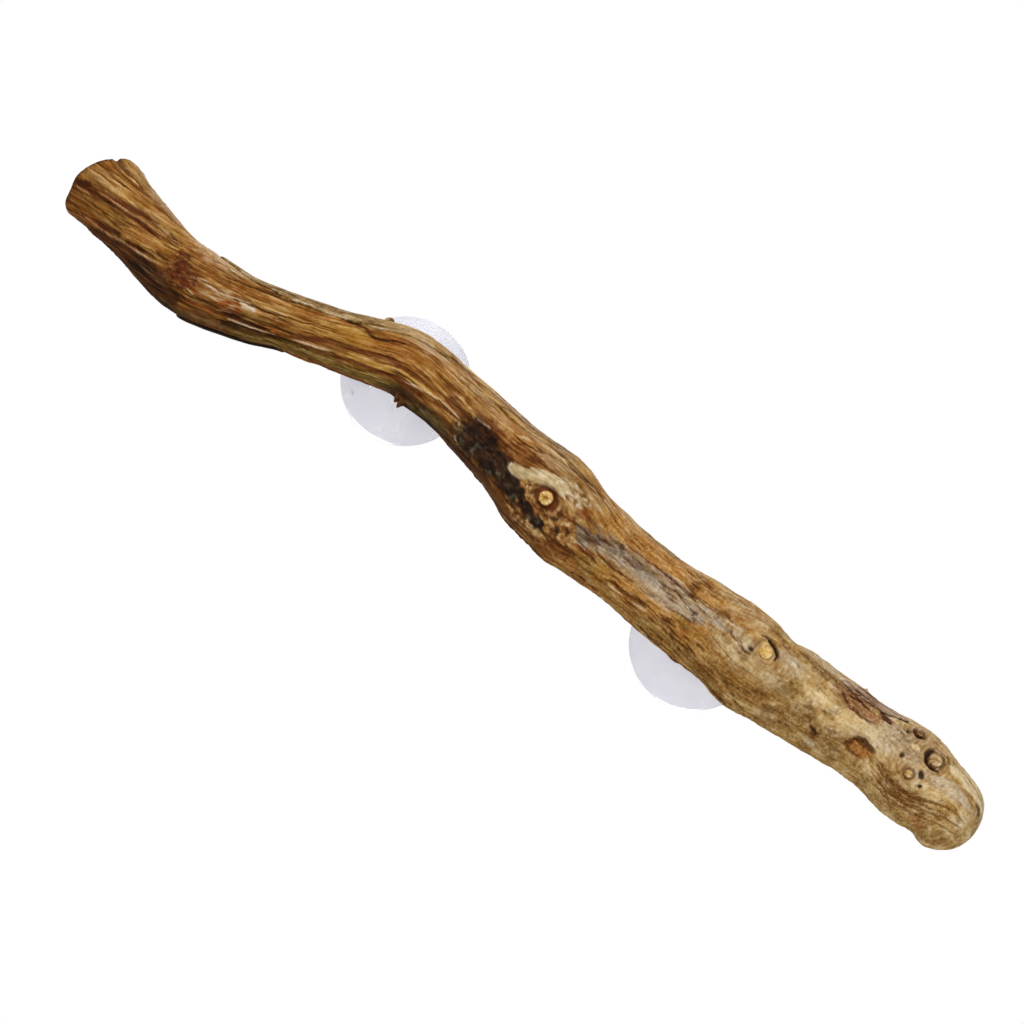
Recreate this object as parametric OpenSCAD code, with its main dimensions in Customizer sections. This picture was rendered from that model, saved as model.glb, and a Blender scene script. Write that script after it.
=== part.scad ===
// Climbing branch for a reptile tank: a crooked, peeled limb with its dead knots and some bark,
// held against the glass by two soft suction cups that screw into inserts in its back.
//
// Frame: the glass is the plane Y = 0 and the limb lies in front of it, at -Y. +Z is up the glass.
// The origin is on the glass, midway between the two cups.

/* [Limb] */
// Length of the limb along its spine, from the saw cut to the rounded end
limb_length = 374; // [340:1:410]
// Width of the limb that its swellings are set against
limb_width = 28; // [26:0.5:31]
// Depth of the shallow flutes that run along the limb
flute_depth = 0.5; // [0:0.1:0.8]
// Height that the lumps and dips of the wood are set against
lump_h = 2; // [0:0.1:2.5]
// Half length that the lumps and dips of the wood are set against
lump_length = 10; // [6:0.5:12]
// Lean of the saw cut at the top end, with the front left longer, in degrees
cut_lean = 24; // [0:1:30]
// Skew of the saw cut across the limb, with the lower edge left longer, in degrees
cut_skew = 6; // [0:1:15]
// Length over which the lower end is rounded off
end_round = 13; // [8:1:16]

/* [Knots] */
// Diameter of a large knot's core where it shows
knot_core_d = 5; // [4:0.1:6]
// Diameter of a small knot's core where it shows
small_core_d = 2.8; // [2:0.1:3.5]
// Width of the open ring round each core
knot_ring = 1.1; // [0.6:0.1:1.5]
// Depth of a knot's hole under the wood's surface
knot_depth = 5; // [3:0.5:6]
// How far a core stands out of its hole
knot_proud = 0.6; // [0:0.1:1.2]
// Height of the swelling round a large knot
knot_swell = 1.4; // [0:0.1:2]
// Length of the swelling, from the knot to where it fades
swell_length = 15; // [10:1:20]
// Place of the upper knot along the spine, from the saw cut
upper_knot_at = 193.5; // [188:0.5:200]
// Place of the middle knot along the spine
middle_knot_at = 282; // [276:0.5:288]
// Place of the lower knot along the spine
lower_knot_at = 347.5; // [346:0.5:350]
// Place of the small knot on the front, along the spine
front_small_knot_at = 344; // [338:0.5:346]
// Place of the small knot on the upper side, along the spine
side_small_knot_at = 338.5; // [334:0.5:340]

/* [Bark] */
// Thickness of the bark left on the wood
bark_t = 1.2; // [0.8:0.1:1.6]
// Thickness of the bark along its torn edge
bark_edge_t = 0.5; // [0.3:0.1:0.7]
// Gap between the bark and the wood
bark_gap = 0.2; // [0.15:0.05:0.3]
// Start of the strip along the upper edge, from the saw cut
top_bark_from = 50; // [45:1:60]
// End of the strip along the upper edge
top_bark_to = 136; // [125:1:145]
// Start of the strip under the bend
under_bark_from = 47; // [42:1:55]
// End of the strip under the bend
under_bark_to = 84; // [75:1:95]
// Start of the flake near the lower end
flake_bark_from = 309; // [305:1:313]
// End of the flake near the lower end
flake_bark_to = 334; // [325:1:334]

/* [Suction cups] */
// Diameter over the lip
cup_d = 46; // [40:1:50]
// Width of the flat sealing lip
lip_w = 2; // [1.5:0.1:3]
// Thickness of the lip's edge
lip_t = 0.9; // [0.6:0.1:1.4]
// Depth of the hollow behind the lip
dish_depth = 7; // [6:0.1:8]
// Height of the dome, lip to neck
dome_h = 11; // [10:0.1:12]
// Height of the cup, lip to the top of the neck
cup_h = 17; // [16:0.5:20]
// Diameter of the neck
neck_d = 12; // [11:0.1:13]
// Radius of the fillet between the dome and the neck
neck_fillet = 2; // [1:0.1:2.5]
// Diameter of the moulded pip near the lip
pip_d = 3; // [2:0.1:4]
// Distance of the pip from the edge of the lip
pip_inset = 2.8; // [2.5:0.1:4]
// How far the pip stands out of the dome
pip_h = 0.6; // [0.3:0.1:1]
// Place of the upper cup along the spine, from the saw cut
upper_cup_at = 125; // [115:1:140]
// How far the upper cup sits below the spine
upper_cup_drop = 2.5; // [0:0.1:3.5]
// Place of the lower cup along the spine, from the saw cut
lower_cup_at = 262; // [250:1:275]
// How far the lower cup sits below the spine
lower_cup_drop = 4.5; // [0:0.1:5.5]

/* [Fixings] */
// Thread diameter of the stud
stud_d = 4; // [3:0.1:5]
// Pitch of the stud's thread
stud_pitch = 0.7; // [0.5:0.05:0.8]
// Length of thread in the insert when the cup is screwed home
stud_grip = 8; // [6:0.1:9]
// Diameter of the stud's head, moulded into the neck
head_d = 8; // [7:0.1:9]
// Thickness of the stud's head
head_t = 2; // [1.5:0.1:2.5]
// Rubber between the hollow and the stud's head
head_floor = 3.5; // [3:0.1:4]
// Outer diameter of the washer
washer_d = 12; // [11:0.1:13]
// Thickness of the washer
washer_t = 1; // [0.8:0.1:1.6]
// Outer diameter of the threaded insert
insert_d = 6.4; // [6:0.1:7.4]
// Depth of the counterbored seat below the crest of the limb's back
seat_depth = 4.5; // [3.5:0.1:5]
// Radial gap between the stud and the insert
thread_gap = 0.06; // [0.03:0.01:0.1]
// Radial gap round the washer's hole, and round a knot at the floor of its hole
loose_gap = 0.2; // [0.1:0.05:0.3]
// Radial gap round the neck and washer in the seat
seat_gap = 0.8; // [0.5:0.1:1]

/* [Hidden] */
$fn = 48;

// The limb's course from the saw cut to the rounded end. Each row is a run and its far end:
// [run, slope below level, width at the far end, sway of the far end towards the glass].
// The runs share out limb_length. Width and sway are shares of limb_width.
course = [
    [0, 50, 0.96, 0.26],
    [17, 50, 0.90, 0.20],
    [22, 49, 0.89, 0.11],
    [17.5, 33, 0.86, 0.05],
    [25.5, 21, 0.70, 0.02],
    [27.5, 19, 0.78, 0],
    [17.5, 20, 0.85, 0],
    [17.5, 40, 0.84, 0],
    [24.5, 45, 0.94, -0.03],
    [26, 45, 1.18, -0.05],
    [25.5, 43, 1.00, -0.02],
    [34.5, 38, 1.03, 0],
    [25.5, 38, 1.18, 0],
    [25.5, 34, 1.05, -0.04],
    [25.5, 34, 1.00, -0.10],
    [24, 43, 1.01, -0.14],
    [18, 53, 0.98, -0.18]
];
last = len(course) - 1;
rings_per_run = 6;
sides = 32;

// Knots as [place along the spine, angle from the front towards the limb's upper side].
upper_knot_place = [upper_knot_at, -8];
middle_knot_place = [middle_knot_at, 15];
lower_knot_place = [lower_knot_at, 33];
small_knot_places = [[front_small_knot_at, -4], [side_small_knot_at, 51]];
large_knot_places = [upper_knot_place, middle_knot_place, lower_knot_place];
swell_angle = 50;

// Lumps and dips of the wood, as [place in hundredths of the limb's length, angle from the front towards
// the upper side, share of lump_h, share of lump_length, angle over which it fades]. A dip has a share below 0.
lumps = [
    // Upper edge
    [0, 85, 0.3, 0.35, 30],
    [12, 85, 0.45, 0.7, 35],
    [18, 85, -0.4, 0.8, 35],
    [27, 85, -0.3, 0.8, 35],
    [42, 85, 0.25, 1.2, 35],
    [55, 85, -0.65, 0.8, 35],
    [77, 85, -0.95, 0.6, 35],
    [87, 85, -0.6, 0.6, 35],
    [91.5, 85, 0.8, 0.8, 35],
    // Lower edge
    [0, -80, 0.9, 0.4, 30],
    [8, -85, -0.4, 1.2, 35],
    [16, -85, -0.65, 1.1, 35],
    [21.5, -85, -0.4, 0.6, 35],
    [36, -85, 0.5, 0.7, 35],
    [50, -85, 0.35, 0.6, 35],
    [55, -85, 0.5, 0.6, 35],
    [61.5, -85, -0.3, 0.8, 35],
    [72, -85, -0.7, 0.7, 35],
    [77.5, -85, -0.4, 0.6, 35],
    [92, -85, 0.6, 0.9, 35],
    [96.5, -85, -0.9, 0.5, 35],
    // Hollow of the scar above the upper knot, and the healed lip over it
    [43.5, -20, -0.5, 0.8, 20],
    [47, -26, -0.5, 0.8, 16],
    [50, 10, 0.3, 0.8, 14],
    // Hollow near the rounded end, and the wood that stands up beside it
    [87, -25, -0.4, 0.5, 14],
    [84, 5, 0.25, 0.9, 25],
    [73, 14, 0.25, 0.5, 16],
    // Swelling at the bend
    [11.5, 0, 0.25, 0.7, 30]
];

// Bark as [start along the spine, end, angle of its middle at the start, at the end, half its angle].
top_bark_patch = [top_bark_from, top_bark_to, 88, 56, 28];
under_bark_patch = [under_bark_from, under_bark_to, -98, -94, 13];
flake_bark_patch = [flake_bark_from, flake_bark_to, 50, 60, 14];

// The pip's direction on each cup, seen from the front, in degrees anticlockwise from the right.
upper_pip_turn = 194;
lower_pip_turn = 60;

// How far a cutting shape runs past the faces that it opens
cut_past = 1;
seat_h = cup_h + washer_t;
back_h = seat_h - seat_depth;
stud_r = stud_d / 2;
head_h = dish_depth + head_floor;
stud_top = seat_h + stud_grip;
insert_l = stud_grip + stud_pitch;
insert_hole_r = stud_r + thread_gap;

// Places along the course
runs_total = sum([for (row = course) row[0]]);
function sum(list, n) = let (m = is_undef(n) ? len(list) : n) m == 0 ? 0 : list[m - 1] + sum(list, m - 1);
function run(i) = course[i][0] * limb_length / runs_total;
function start_of(i) = i <= 0 ? 0 : start_of(i - 1) + run(i);
function run_at(s, i = 0) = i >= last - 1 || s < start_of(i + 1) ? i : run_at(s, i + 1);
// Station number, with its fraction, of a place along the spine
function station(s) = let (i = run_at(s)) i + (s - start_of(i)) / run(i + 1);

// Stations of the spine in the plane of the glass, as [across, up]
function walked(i) = i == 0 ? [0, 0]
    : walked(i - 1) + run(i) * [cos(course[i][1]), -sin(course[i][1])];
stops = [for (i = [0:last]) concat(walked(i), [course[i][2] * limb_width / 2, course[i][3] * limb_width])];
// Stop i, carried on in a straight line past either end
function stop(i) = i < 0 ? 2 * stops[0] - stops[1] : i > last ? 2 * stops[last] - stops[last - 1] : stops[i];
function spline(p, t) = p[1] + t / 2 * (p[2] - p[0]
    + t * (2 * p[0] - 5 * p[1] + 4 * p[2] - p[3] + t * (3 * p[1] - p[0] - 3 * p[2] + p[3])));
// Everything that the course gives at station u: [across, up, half width, sway]
function along(u) = let (i = min(floor(u), last - 1)) spline([for (k = [-1:2]) stop(i + k)], u - i);

// A cup's centre on the glass, before the origin is set
function raw_cup(at, drop) = let (u = station(at), d = along(u + 0.1) - along(u - 0.1), n = norm([d[0], d[1]]))
    [along(u)[0], along(u)[1]] + drop * [d[1], -d[0]] / n;
raw_upper = raw_cup(upper_cup_at, upper_cup_drop);
raw_lower = raw_cup(lower_cup_at, lower_cup_drop);
middle = (raw_upper + raw_lower) / 2;
upper_cup_centre = raw_upper - middle;
lower_cup_centre = raw_lower - middle;

// The spine at station u: its back crest lies back_h in front of the glass, less the sway
function spine(u) = let (a = along(u)) [a[0] - middle[0], a[3] - back_h - a[2], a[1] - middle[1]];
function unit(v) = v / norm(v);
function heading(u) = unit(spine(min(u + 0.05, last)) - spine(max(u - 0.05, 0)));
function front(u) = let (t = heading(u)) unit([0, -1, 0] - t * (t * [0, -1, 0]));
function upward(u) = cross(front(u), heading(u));

// Swelling of the wood round the large knots
function bump(s, angle, place) = let (gap = abs(angle - place[1]) % 360, turn = min(gap, 360 - gap))
    knot_swell * exp(-pow((s - place[0]) / swell_length, 2) - pow(turn / swell_angle, 2));
function swelling(s, angle) = sum([for (place = large_knot_places) bump(s, angle, place)]);
// Lumps and dips of the wood
function lump(s, angle, row) = let (gap = abs(angle - row[1]) % 360, turn = min(gap, 360 - gap))
    lump_h * row[2] * exp(-pow((s - row[0] * limb_length / 100) / (lump_length * row[3]), 2) - pow(turn / row[4], 2));
function lumpiness(s, angle) = sum([for (row = lumps) lump(s, angle, row)]);
// Shallow flutes that wander round the limb as they run along it
function flutes(s, angle) = let (share = s / limb_length) flute_depth
    * (0.6 * cos(3 * angle + 340 * share)
        + 0.4 * cos(5 * angle - 490 * share + 70)
        + 0.3 * cos(8 * angle + 190 * share + 200));
function place_at(u) = start_of(floor(u)) + (u - floor(u)) * run(min(floor(u) + 1, last));
// How much of the full width is left where the lower end is rounded
function rounding(s) = let (d = (limb_length - s) / end_round) d >= 1 ? 1 : sqrt(1 - pow(0.95 * (1 - max(d, 0)), 2));
// How far the leaning saw cut draws a ring's point out along the spine, fading over the first run
function cut_draw(u, angle) = (tan(cut_lean) * cos(angle) - tan(cut_skew) * sin(angle)) * max(0, 1 - u);

// Point of the wood's surface at station u and angle, lifted off it by lift
function skin(u, angle, lift = 0) = let (
        s = place_at(u),
        r = (along(u)[2] + swelling(s, angle) + lumpiness(s, angle) + flutes(s, angle)) * rounding(s) + lift,
        out = front(u) * cos(angle) + upward(u) * sin(angle))
    spine(u) + r * out - heading(u) * r * cut_draw(u, angle);

// The limb before anything is drilled in it
module limb_blank() {
    stations = [for (i = [0:last - 1]) for (k = [0:rings_per_run - 1]) i + k / rings_per_run, last];
    rings = len(stations);
    points = concat(
        [for (u = stations) for (j = [0:sides - 1]) skin(u, 360 * j / sides)],
        [spine(0), spine(last)]);
    walls = [for (k = [0:rings - 2]) for (j = [0:sides - 1])
        let (a = k * sides + j, b = k * sides + (j + 1) % sides) each [[a, b, b + sides], [a, b + sides, a + sides]]];
    first_cap = [for (j = [0:sides - 1]) [rings * sides, (j + 1) % sides, j]];
    end = (rings - 1) * sides;
    last_cap = [for (j = [0:sides - 1]) [rings * sides + 1, end + j, end + (j + 1) % sides]];
    polyhedron(points, concat(walls, first_cap, last_cap));
}

// Moves a cup, drawn with its lip at Z = 0 and its neck up, to its place on the glass
module on_glass(centre) translate([centre[0], 0, centre[1]]) rotate([90, 0, 0]) children();

// Moves a knot, drawn with the wood's surface at Z = 0, to its place on the limb
module on_limb(place) {
    u = station(place[0]);
    out = front(u) * cos(place[1]) + upward(u) * sin(place[1]);
    translate(skin(u, place[1])) rotate([0, acos(out[2]), atan2(out[1], out[0])]) children();
}

// Hole that a core of this diameter sits in
module knot_hole(core_d) translate([0, 0, -knot_depth])
    cylinder(d = core_d + 2 * knot_ring, h = knot_depth + knot_swell + bark_t);

// Seat for the neck and washer, and the insert's hole at its floor, both drilled from the glass side
module drilling() {
    translate([0, 0, back_h - limb_width]) cylinder(d = max(neck_d, washer_d) + 2 * seat_gap, h = limb_width + seat_depth);
    translate([0, 0, back_h]) cylinder(d = insert_d, h = seat_depth + insert_l);
}

// Peeled limb, drilled for the inserts, with the holes of its dead knots
module limb() color("peru") difference() {
    limb_blank();
    for (centre = [upper_cup_centre, lower_cup_centre]) on_glass(centre) drilling();
    for (place = large_knot_places) on_limb(place) knot_hole(knot_core_d);
    for (place = small_knot_places) on_limb(place) knot_hole(small_core_d);
}

// Dead core of a side twig, narrowing from the floor of its hole to the end that shows
module knot(place, core_d) color("burlywood") on_limb(place) translate([0, 0, -knot_depth])
    cylinder(d1 = core_d + 2 * knot_ring - 2 * loose_gap, d2 = core_d, h = knot_depth + knot_proud);

module upper_knot() knot(upper_knot_place, knot_core_d);
module middle_knot() knot(middle_knot_place, knot_core_d);
module lower_knot() knot(lower_knot_place, knot_core_d);
module small_knots() for (place = small_knot_places) knot(place, small_core_d);

// Sheet of bark over part of the limb, thick in the middle, with torn edges and pointed ends
module bark(patch) {
    rows = 20;
    columns = 8;
    stations = [for (k = [0:rows]) station(patch[0] + (patch[1] - patch[0]) * k / rows)];
    centre = [for (k = [0:rows]) patch[2] + (patch[3] - patch[2]) * k / rows];
    spread = [for (k = [0:rows]) patch[4] * (0.2 + 0.8 * sqrt(sin(180 * k / rows)))];
    function spot(k, j, lift) = skin(stations[k], centre[k] + spread[k] * (2 * j / columns - 1), lift);
    function thickness(k, j) = bark_edge_t + (bark_t - bark_edge_t) * sin(180 * j / columns) * sin(180 * k / rows);
    wide = columns + 1;
    layer = (rows + 1) * wide;
    points = concat(
        [for (k = [0:rows]) for (j = [0:columns]) spot(k, j, bark_gap)],
        [for (k = [0:rows]) for (j = [0:columns]) spot(k, j, bark_gap + thickness(k, j))]);
    inner = [for (k = [0:rows - 1]) for (j = [0:columns - 1])
        let (a = k * wide + j) each [[a, a + wide + 1, a + 1], [a, a + wide, a + wide + 1]]];
    outer = [for (f = inner) [f[0] + layer, f[2] + layer, f[1] + layer]];
    rim = concat(
        [for (j = [0:columns - 1]) j],
        [for (k = [0:rows - 1]) k * wide + columns],
        [for (j = [columns:-1:1]) rows * wide + j],
        [for (k = [rows:-1:1]) k * wide]);
    walls = [for (i = [0:len(rim) - 1])
        let (a = rim[i], b = rim[(i + 1) % len(rim)]) each [[a, b, b + layer], [a, b + layer, a + layer]]];
    color("saddlebrown") polyhedron(points, concat(inner, outer, walls));
}

module top_bark() bark(top_bark_patch);
module under_bark() bark(under_bark_patch);
module flake_bark() bark(flake_bark_patch);

// Threaded insert, pressed into the limb flush with the floor of the seat
module insert(centre) color("goldenrod") on_glass(centre) translate([0, 0, seat_h]) difference() {
    cylinder(d = insert_d, h = insert_l);
    translate([0, 0, -cut_past]) cylinder(r = insert_hole_r, h = insert_l + 2 * cut_past);
}

module upper_insert() insert(upper_cup_centre);
module lower_insert() insert(lower_cup_centre);

// Plain washer that keeps the soft neck off the wood
module washer(centre) color("silver") on_glass(centre) translate([0, 0, cup_h]) difference() {
    cylinder(d = washer_d, h = washer_t);
    translate([0, 0, -cut_past]) cylinder(r = stud_r + loose_gap, h = washer_t + 2 * cut_past);
}

module upper_washer() washer(upper_cup_centre);
module lower_washer() washer(lower_cup_centre);

// Screw stud whose flat head is moulded into the neck
module stud(centre) color("silver") on_glass(centre) translate([0, 0, head_h]) {
    cylinder(d = head_d, h = head_t);
    cylinder(r = stud_r, h = stud_top - head_h);
}

module upper_stud() stud(upper_cup_centre);
module lower_stud() stud(lower_cup_centre);

// Radius of an arc that rises by rise over half a chord
function arc_r(half, rise) = (half * half + rise * rise) / (2 * rise);
// Points of such an arc from the chord's end up towards the axis, as far in as radius inner
function arc(half, rise, inner, base, steps) = let (r = arc_r(half, rise))
    [for (k = [0:steps]) let (x = half + (inner - half) * k / steps) [x, base + sqrt(r * r - x * x) - r + rise]];
function dome_z(x) = let (half = cup_d / 2, rise = dome_h - lip_t, r = arc_r(half, rise))
    lip_t + sqrt(r * r - x * x) - r + rise;

// Soft cup: domed disc with a flat lip, a hollow behind it and a neck round the stud's head
module cup(centre, pip_turn) color("aliceblue", 0.6) on_glass(centre) {
    neck_r = neck_d / 2;
    foot_r = neck_r + neck_fillet;
    dish = arc(cup_d / 2 - lip_w, dish_depth, 0, 0, 16);
    dome = arc(cup_d / 2, dome_h - lip_t, foot_r, lip_t, 16);
    fillet = [for (a = [10:10:80]) [foot_r - neck_fillet * sin(a), dome_z(foot_r) + neck_fillet * (1 - cos(a))]];
    pip_at = cup_d / 2 - pip_inset;
    rotate_extrude($fn = 96) polygon(concat(
        [for (k = [len(dish) - 1:-1:0]) dish[k]],
        [[cup_d / 2, 0]],
        dome, fillet,
        [[neck_r, dome_z(foot_r) + neck_fillet], [neck_r, cup_h], [stud_r, cup_h],
         [stud_r, head_h + head_t], [head_d / 2, head_h + head_t], [head_d / 2, head_h], [0, head_h]]));
    rotate([0, 0, pip_turn]) translate([pip_at, 0, lip_t / 2])
        cylinder(d = pip_d, h = dome_z(pip_at) + pip_h - lip_t / 2);
}

module upper_cup() cup(upper_cup_centre, upper_pip_turn);
module lower_cup() cup(lower_cup_centre, lower_pip_turn);

limb();
upper_knot();
middle_knot();
lower_knot();
small_knots();
top_bark();
under_bark();
flake_bark();
upper_insert();
lower_insert();
upper_washer();
lower_washer();
upper_stud();
lower_stud();
upper_cup();
lower_cup();
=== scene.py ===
import math

import bpy
import numpy as np
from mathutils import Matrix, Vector, noise


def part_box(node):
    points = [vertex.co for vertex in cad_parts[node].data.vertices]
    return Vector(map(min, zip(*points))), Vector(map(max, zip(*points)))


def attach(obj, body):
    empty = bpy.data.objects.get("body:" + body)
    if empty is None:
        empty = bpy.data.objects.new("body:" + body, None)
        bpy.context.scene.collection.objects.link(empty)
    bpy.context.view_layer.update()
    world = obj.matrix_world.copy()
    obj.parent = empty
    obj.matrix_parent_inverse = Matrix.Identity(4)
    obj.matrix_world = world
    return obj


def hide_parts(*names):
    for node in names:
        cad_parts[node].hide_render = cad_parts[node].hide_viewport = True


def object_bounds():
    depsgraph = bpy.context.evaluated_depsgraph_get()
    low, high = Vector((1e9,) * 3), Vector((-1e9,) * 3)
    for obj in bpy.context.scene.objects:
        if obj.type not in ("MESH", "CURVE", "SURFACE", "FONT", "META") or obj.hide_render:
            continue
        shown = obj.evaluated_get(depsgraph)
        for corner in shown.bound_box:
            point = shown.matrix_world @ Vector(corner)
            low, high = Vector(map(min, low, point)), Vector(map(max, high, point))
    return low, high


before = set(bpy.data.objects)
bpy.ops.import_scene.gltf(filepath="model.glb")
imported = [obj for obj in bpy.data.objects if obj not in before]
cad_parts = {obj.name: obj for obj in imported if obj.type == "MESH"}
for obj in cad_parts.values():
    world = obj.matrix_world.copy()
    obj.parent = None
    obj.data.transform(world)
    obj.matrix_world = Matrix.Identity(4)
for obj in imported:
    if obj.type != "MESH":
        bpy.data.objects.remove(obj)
cad_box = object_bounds()

# The limb is one crooked length of hardwood, peeled, sawn across at the top and rounded off at the foot.
# A flat grid is rolled up along the course that the solid limb follows, and the ropes of its grain, its
# drying cracks, scars and knot holes are worked into the skin.
MM = 0.001
limb_length, limb_width = 374, 28
crest_off_glass = 13.5
end_round, round_share = 13, 0.95
cut_lean, cut_skew = 24, 6
knot_swell, swell_length, swell_spread = 1.4, 15, 50
flute_depth = 0.5
lump_h, lump_length = 2, 10
upper_cup_at, upper_cup_drop = 125, 2.5
# Run, slope below level, width at the far end and sway towards the glass, as shares of the limb's width
course = np.array([
    (0, 50, 0.96, 0.26), (17, 50, 0.90, 0.20), (22, 49, 0.89, 0.11), (17.5, 33, 0.86, 0.05),
    (25.5, 21, 0.70, 0.02), (27.5, 19, 0.78, 0), (17.5, 20, 0.85, 0), (17.5, 40, 0.84, 0),
    (24.5, 45, 0.94, -0.03), (26, 45, 1.18, -0.05), (25.5, 43, 1.00, -0.02), (34.5, 38, 1.03, 0),
    (25.5, 38, 1.18, 0), (25.5, 34, 1.05, -0.04), (25.5, 34, 1.00, -0.10), (24, 43, 1.01, -0.14),
    (18, 53, 0.98, -0.18),
])
# Lumps and dips of the wood: hundredths of the length, angle from the front towards the upper side, shares of
# the lump's height and length, and the angle over which it fades
lumps = [
    (0, 85, 0.3, 0.35, 30), (12, 85, 0.45, 0.7, 35), (18, 85, -0.4, 0.8, 35), (27, 85, -0.3, 0.8, 35),
    (42, 85, 0.25, 1.2, 35), (55, 85, -0.65, 0.8, 35), (77, 85, -0.95, 0.6, 35), (87, 85, -0.6, 0.6, 35),
    (91.5, 85, 0.8, 0.8, 35), (0, -80, 0.9, 0.4, 30), (8, -85, -0.4, 1.2, 35), (16, -85, -0.65, 1.1, 35),
    (21.5, -85, -0.4, 0.6, 35), (36, -85, 0.5, 0.7, 35), (50, -85, 0.35, 0.6, 35), (55, -85, 0.5, 0.6, 35),
    (61.5, -85, -0.3, 0.8, 35), (72, -85, -0.7, 0.7, 35), (77.5, -85, -0.4, 0.6, 35), (92, -85, 0.6, 0.9, 35),
    (96.5, -85, -0.9, 0.5, 35), (43.5, -20, -0.5, 0.8, 20), (47, -26, -0.5, 0.8, 16), (50, 10, 0.3, 0.8, 14),
    (87, -25, -0.4, 0.5, 14), (84, 5, 0.25, 0.9, 25), (73, 14, 0.25, 0.5, 16), (11.5, 0, 0.25, 0.7, 30),
]
large_knots = [(193.5, -8), (282, 15), (347.5, 33)]
small_knots = [(344, -4), (338.5, 51)]
large_hole, small_hole = 3.6, 2.5


def cosd(angle):
    return np.cos(np.radians(angle))


def sind(angle):
    return np.sin(np.radians(angle))


def tand(angle):
    return math.tan(math.radians(angle))


def unit(v):
    return v / np.linalg.norm(v, axis=-1, keepdims=True)


def turn_between(angle, other):
    return (angle - other + 180) % 360 - 180


def ease(value, low, high):
    t = np.clip((value - low) / (high - low), 0, 1)
    return t * t * (3 - 2 * t)


def cup_axis(cup):
    """Where a cup's axis meets the glass, across and up it, in mm."""
    low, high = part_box(cup)
    return np.array([low.x + high.x, low.z + high.z]) / 2 / MM


runs = course[:, 0] * limb_length / course[:, 0].sum()
stop_places = np.cumsum(runs)
stops = np.column_stack([
    np.cumsum(runs * cosd(course[:, 1])),
    np.cumsum(-runs * sind(course[:, 1])),
    course[:, 2] * limb_width / 2,
    course[:, 3] * limb_width,
])
stops = np.vstack([2 * stops[0] - stops[1], stops, 2 * stops[-1] - stops[-2]])


def along(place):
    """What the course gives at a place along the limb: across, up, half the width and the sway."""
    station = np.interp(place, stop_places, np.arange(len(stop_places)))
    first = np.minimum(station.astype(int), len(stop_places) - 2)
    t = (station - first)[:, None]
    a, b, c, d = (stops[first + k] for k in range(4))
    return b + t / 2 * (c - a + t * (2 * a - 5 * b + 4 * c - d + t * (3 * b - a - 3 * c + d)))


# The course is hung on the upper cup, whose place on the limb is known
before, at_cup, after = along(upper_cup_at + np.array([-2.5, 0, 2.5]))[:, :2]
downward = unit(np.array([after[1] - before[1], before[0] - after[0]]))
stops[:, :2] += cup_axis("upper_cup") - at_cup - upper_cup_drop * downward


def spine(place):
    """Centre of the limb at a place along it, in mm, and half its width there."""
    x, z, half, sway = along(place).T
    return np.column_stack([x, sway - crest_off_glass - half, z]), half


def frame_at(place):
    """Centre and half width at a place, and the ways ahead, to the front and to the upper side."""
    centre, half = spine(place)
    ahead = unit(spine(np.minimum(place + 1, limb_length))[0] - spine(np.maximum(place - 1, 0))[0])
    front = unit(np.array([0, -1, 0]) + ahead * ahead[:, 1:2])
    past_end = np.maximum(place - limb_length, 0)[:, None]
    return centre + ahead * past_end, half, ahead, front, np.cross(front, ahead)


def foot_rounding(place):
    return np.sqrt(1 - np.clip(round_share * (1 - (limb_length - place) / end_round), 0, 1) ** 2)


def skin(place, angle, lift, inset=1):
    """Point of the wood at a place along the limb and an angle from its front to its upper side, in mm."""
    centre, half, ahead, front, upper = frame_at(place)
    out = front * cosd(angle)[:, None] + upper * sind(angle)[:, None]
    swelling = sum(knot_swell * np.exp(-((place - at) / swell_length) ** 2
                                       - (turn_between(angle, way) / swell_spread) ** 2)
                   for at, way in large_knots)
    for share, way, high, long, spread in lumps:
        at = share * limb_length / 100
        far = (place - at) / (lump_length * long)
        swelling += lump_h * high * np.exp(-far ** 2 - (turn_between(angle, way) / spread) ** 2)
    share = place / limb_length
    flutes = flute_depth * (0.6 * cosd(3 * angle + 340 * share) + 0.4 * cosd(5 * angle - 490 * share + 70)
                            + 0.3 * cosd(8 * angle + 190 * share + 200))
    r = (half + swelling + flutes + lift) * foot_rounding(place) * inset
    slant = tand(cut_lean) * cosd(angle) - tand(cut_skew) * sind(angle)
    draw = slant * np.maximum(0, 1 - place / stop_places[1])
    return centre + r[:, None] * out - ahead * (r * draw)[:, None]


def flat_grid(name, rows, columns):
    """A new flat grid to be rolled up, with each vertex's share along it and turn round it, in degrees."""
    bpy.ops.object.select_all(action="DESELECT")
    bpy.ops.mesh.primitive_grid_add(x_subdivisions=columns, y_subdivisions=rows, size=1)
    piece = bpy.context.object
    piece.name = piece.data.name = name
    spots = np.empty(len(piece.data.vertices) * 3, np.float32)
    piece.data.vertices.foreach_get("co", spots)
    spots = spots.reshape(-1, 3).astype(float)
    return piece, spots[:, 1] + 0.5, -360 * spots[:, 0]


def close_up(sharp):
    """Merges the doubles of the mesh in hand, turns its faces outwards and smooths it up to an angle."""
    bpy.ops.object.mode_set(mode="EDIT")
    bpy.ops.mesh.select_all(action="SELECT")
    bpy.ops.mesh.remove_doubles(threshold=2e-6)
    bpy.ops.mesh.normals_make_consistent(inside=False)
    bpy.ops.object.mode_set(mode="OBJECT")
    bpy.ops.object.shade_smooth_by_angle(angle=math.radians(sharp))


def shape(piece, points, tint, grain, sharp=65):
    """Moves the grid's vertices to points in mm and keeps each one's tint and grain."""
    piece.data.vertices.foreach_set("co", (points * MM).astype(np.float32).ravel())
    kept = piece.data.attributes.new("tint", "FLOAT_COLOR", "POINT")
    kept.data.foreach_set("color", tint.astype(np.float32).ravel())
    kept = piece.data.attributes.new("grain", "FLOAT_VECTOR", "POINT")
    kept.data.foreach_set("vector", grain.astype(np.float32).ravel())
    close_up(sharp)


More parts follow.
